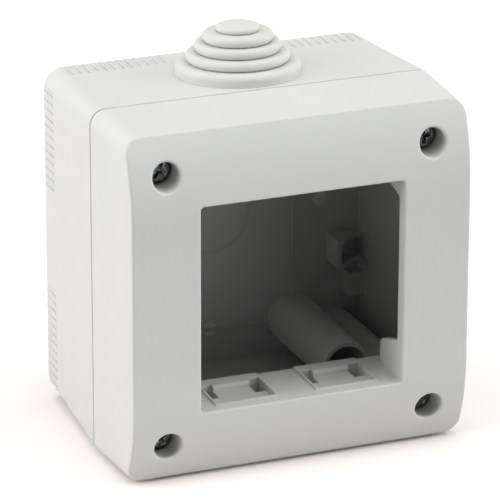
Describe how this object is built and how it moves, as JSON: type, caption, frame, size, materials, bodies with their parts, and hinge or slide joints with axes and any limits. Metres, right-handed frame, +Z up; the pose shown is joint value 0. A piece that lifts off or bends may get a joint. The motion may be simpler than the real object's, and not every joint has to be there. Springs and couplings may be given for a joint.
{
  "type": "surface mount box",
  "caption": "Square wall-mounted housing with a stepped cable membrane on top and a screwed front cover that is open for clip-in socket modules.",
  "frame": {"origin": "centre of the flat back face that goes on the wall", "axes": "+Y into the wall, +Z up, +X to the right seen from the front"},
  "size_m": [0.0764, 0.0556, 0.0864],
  "materials": {
    "housing": "fine matt moulded light grey plastic",
    "cover": "fine matt moulded light grey plastic",
    "membrane": "soft light grey membrane",
    "screws": "dark plated steel"
  },
  "bodies": {
    "root": {"rear_box": "housing", "front_cover": "cover", "cable_grommet": "membrane", "cover_screws": "screws"}
  },
  "joints": []
}
